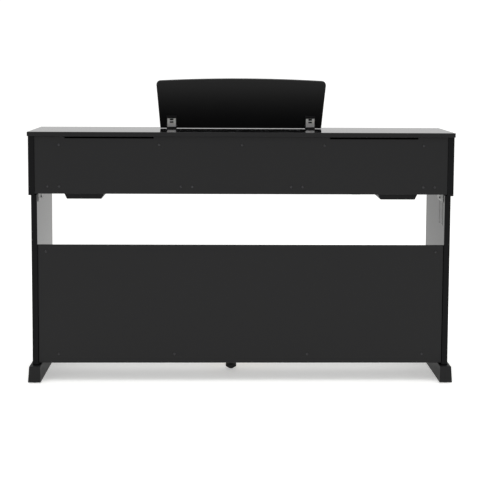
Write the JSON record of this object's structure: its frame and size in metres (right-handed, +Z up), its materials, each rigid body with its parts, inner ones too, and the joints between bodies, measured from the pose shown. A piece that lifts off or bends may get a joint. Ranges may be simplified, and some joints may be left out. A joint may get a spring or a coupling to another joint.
{
  "type": "digital piano on stand",
  "caption": "Console digital piano on a panel stand: full-size keys, sliding key cover, folding music rest, pedals and a closed back.",
  "frame": {"origin": "on the floor, below the middle of the piano's overall box", "axes": "+Z up, +X to the player's right, -Y towards the player, +Y towards the back panel"},
  "size_m": [1.3688, 0.42, 0.9798],
  "materials": {
    "gloss_black": "high-gloss black polyester lacquer",
    "satin_black": "satin black foil on fibreboard",
    "moulded_black": "fine-textured black moulding",
    "rest_gloss": "polished black",
    "zinc_steel": "zinc-plated pressed sheet",
    "bar_steel": "ground bar",
    "spring_steel": "oiled wire",
    "screw_black": "black oxide",
    "brass": "polished",
    "ivory_white": "smooth white key plastic",
    "ebony_black": "satin black key plastic",
    "red_felt": "woven felt",
    "hammer_grey": "weighted levers",
    "driver_black": "coated basket and magnet",
    "grille_black": "perforated sheet",
    "board_green": "solder resist",
    "rubber_black": "moulded rubber",
    "label_grey": "plain adhesive film"
  },
  "bodies": {
    "piano": {"foot_left": "satin_black", "foot_right": "satin_black", "foot_pads": "rubber_black", "leg_panel_left": "gloss_black", "leg_panel_right": "gloss_black", "lower_back_board": "satin_black", "leg_brackets": "zinc_steel", "blank_label": "label_grey", "pedal_box": "satin_black", "pedal_bracket": "zinc_steel", "pedal_rod": "bar_steel", "pedal_springs": "spring_steel", "side_panel_left": "gloss_black", "side_panel_right": "gloss_black", "top_board": "gloss_black", "rear_panel": "satin_black", "keybed": "satin_black", "key_slip": "gloss_black", "front_fascia": "gloss_black", "felt_strip": "red_felt", "key_block_left": "gloss_black", "key_block_right": "gloss_black", "key_pivot_rod": "bar_steel", "key_frame": "zinc_steel", "hammers": "hammer_grey", "cover_rails": "moulded_black", "speaker_box_left": "moulded_black", "speaker_box_right": "moulded_black", "speaker_drivers": "driver_black", "speaker_grilles": "grille_black", "jack_box": "moulded_black", "power_inlet": "moulded_black", "main_board": "board_green", "panel_screws": "screw_black", "rest_hinge_bases": "moulded_black", "rest_hinge_pins": "zinc_steel"},
    "key_c4": {"key_c4": "ivory_white"},
    "key_c_sharp4": {"key_c_sharp4": "ebony_black"},
    "key_d4": {"key_d4": "ivory_white"},
    "key_d_sharp4": {"key_d_sharp4": "ebony_black"},
    "key_e4": {"key_e4": "ivory_white"},
    "white_keys_bass": {"white_keys_bass": "ivory_white"},
    "white_keys_treble": {"white_keys_treble": "ivory_white"},
    "black_keys_bass": {"black_keys_bass": "ebony_black"},
    "black_keys_treble": {"black_keys_treble": "ebony_black"},
    "pedal_soft": {"pedal_soft": "brass"},
    "pedal_sostenuto": {"pedal_sostenuto": "brass"},
    "pedal_damper": {"pedal_damper": "brass"},
    "voice_button": {"voice_button": "moulded_black"},
    "song_button": {"song_button": "moulded_black"},
    "metronome_button": {"metronome_button": "moulded_black"},
    "power_button": {"power_button": "moulded_black"},
    "volume_knob": {"volume_knob": "moulded_black"},
    "pedal_adjuster": {"pedal_adjuster": "rubber_black"},
    "key_cover": {"key_cover": "gloss_black"},
    "cover_shaft": {"cover_shaft": "bar_steel"},
    "music_rest": {"music_rest": "rest_gloss", "rest_lugs": "moulded_black"},
    "rest_support_left": {"rest_support_left": "zinc_steel"},
    "rest_support_right": {"rest_support_right": "zinc_steel"}
  },
  "joints": [
    {"name": "key_c4_press", "type": "hinge", "parent": "piano", "child": "key_c4", "pos_m": [0, 0.038, 0.712], "axis": [1, 0, 0], "range_deg": [0, 2.6], "stiffness_Nm_per_rad": 2.4, "springref_deg": -3.44},
    {"name": "key_c_sharp4_press", "type": "hinge", "parent": "piano", "child": "key_c_sharp4", "pos_m": [0, 0.038, 0.712], "axis": [1, 0, 0], "range_deg": [0, 2.6], "stiffness_Nm_per_rad": 2.4, "springref_deg": -3.44},
    {"name": "key_d4_press", "type": "hinge", "parent": "piano", "child": "key_d4", "pos_m": [0, 0.038, 0.712], "axis": [1, 0, 0], "range_deg": [0, 2.6], "stiffness_Nm_per_rad": 2.4, "springref_deg": -3.44},
    {"name": "key_d_sharp4_press", "type": "hinge", "parent": "piano", "child": "key_d_sharp4", "pos_m": [0, 0.038, 0.712], "axis": [1, 0, 0], "range_deg": [0, 2.6], "stiffness_Nm_per_rad": 2.4, "springref_deg": -3.44},
    {"name": "key_e4_press", "type": "hinge", "parent": "piano", "child": "key_e4", "pos_m": [0, 0.038, 0.712], "axis": [1, 0, 0], "range_deg": [0, 2.6], "stiffness_Nm_per_rad": 2.4, "springref_deg": -3.44},
    {"name": "white_keys_bass_press", "type": "hinge", "parent": "piano", "child": "white_keys_bass", "pos_m": [0, 0.038, 0.712], "axis": [1, 0, 0], "range_deg": [0, 2.6], "stiffness_Nm_per_rad": 55.2, "springref_deg": -3.44},
    {"name": "white_keys_treble_press", "type": "hinge", "parent": "piano", "child": "white_keys_treble", "pos_m": [0, 0.038, 0.712], "axis": [1, 0, 0], "range_deg": [0, 2.6], "stiffness_Nm_per_rad": 62.4, "springref_deg": -3.44},
    {"name": "black_keys_bass_press", "type": "hinge", "parent": "piano", "child": "black_keys_bass", "pos_m": [0, 0.038, 0.712], "axis": [1, 0, 0], "range_deg": [0, 2.6], "stiffness_Nm_per_rad": 38.4, "springref_deg": -3.44},
    {"name": "black_keys_treble_press", "type": "hinge", "parent": "piano", "child": "black_keys_treble", "pos_m": [0, 0.038, 0.712], "axis": [1, 0, 0], "range_deg": [0, 2.6], "stiffness_Nm_per_rad": 43.2, "springref_deg": -3.44},
    {"name": "pedal_soft_press", "type": "hinge", "parent": "piano", "child": "pedal_soft", "pos_m": [0, 0.075, 0.095], "axis": [1, 0, 0], "range_deg": [0, 6], "stiffness_Nm_per_rad": 14, "springref_deg": -5.73},
    {"name": "pedal_sostenuto_press", "type": "hinge", "parent": "piano", "child": "pedal_sostenuto", "pos_m": [0, 0.075, 0.095], "axis": [1, 0, 0], "range_deg": [0, 6], "stiffness_Nm_per_rad": 14, "springref_deg": -5.73},
    {"name": "pedal_damper_press", "type": "hinge", "parent": "piano", "child": "pedal_damper", "pos_m": [0, 0.075, 0.095], "axis": [1, 0, 0], "range_deg": [0, 6], "stiffness_Nm_per_rad": 14, "springref_deg": -5.73},
    {"name": "voice_button_press", "type": "slide", "parent": "piano", "child": "voice_button", "axis": [0, 0, -1], "range_m": [0, 0.0015], "stiffness_N_per_m": 400, "springref_m": -0.001},
    {"name": "song_button_press", "type": "slide", "parent": "piano", "child": "song_button", "axis": [0, 0, -1], "range_m": [0, 0.0015], "stiffness_N_per_m": 400, "springref_m": -0.001},
    {"name": "metronome_button_press", "type": "slide", "parent": "piano", "child": "metronome_button", "axis": [0, 0, -1], "range_m": [0, 0.0015], "stiffness_N_per_m": 400, "springref_m": -0.001},
    {"name": "power_button_press", "type": "slide", "parent": "piano", "child": "power_button", "axis": [0, 0, -1], "range_m": [0, 0.0015], "stiffness_N_per_m": 400, "springref_m": -0.001},
    {"name": "volume_turn", "type": "hinge", "parent": "piano", "child": "volume_knob", "pos_m": [-0.635, -0.074, 0.73], "axis": [0, 0, -1], "range_deg": [-140, 140]},
    {"name": "adjuster_height", "type": "slide", "parent": "piano", "child": "pedal_adjuster", "axis": [0, 0, 1], "range_m": [0, 0.01]},
    {"name": "cover_slide", "type": "slide", "parent": "piano", "child": "key_cover", "axis": [0, -1, 0], "range_m": [0, 0.14]},
    {"name": "cover_shaft_turn", "type": "hinge", "parent": "key_cover", "child": "cover_shaft", "pos_m": [0, 0.141, 0.747], "axis": [-1, 0, 0], "range_deg": [-1010, 1010]},
    {"name": "music_rest_fold", "type": "hinge", "parent": "piano", "child": "music_rest", "pos_m": [0, 0.015, 0.8205], "axis": [-1, 0, 0], "range_deg": [0, 75]},
    {"name": "rest_support_left_fold", "type": "hinge", "parent": "music_rest", "child": "rest_support_left", "pos_m": [-0.2317, 0.02281, 0.84771], "axis": [-1, 0, 0], "range_deg": [0, 8.1]},
    {"name": "rest_support_right_fold", "type": "hinge", "parent": "music_rest", "child": "rest_support_right", "pos_m": [0.2317, 0.02281, 0.84771], "axis": [-1, 0, 0], "range_deg": [0, 8.1]}
  ],
  "couplings": [
    {"joint": "cover_shaft_turn", "follows": "cover_slide", "rad_per_m": 125},
    {"joint": "rest_support_left_fold", "follows": "music_rest_fold", "ratio": 0.10667},
    {"joint": "rest_support_right_fold", "follows": "music_rest_fold", "ratio": 0.10667}
  ]
}
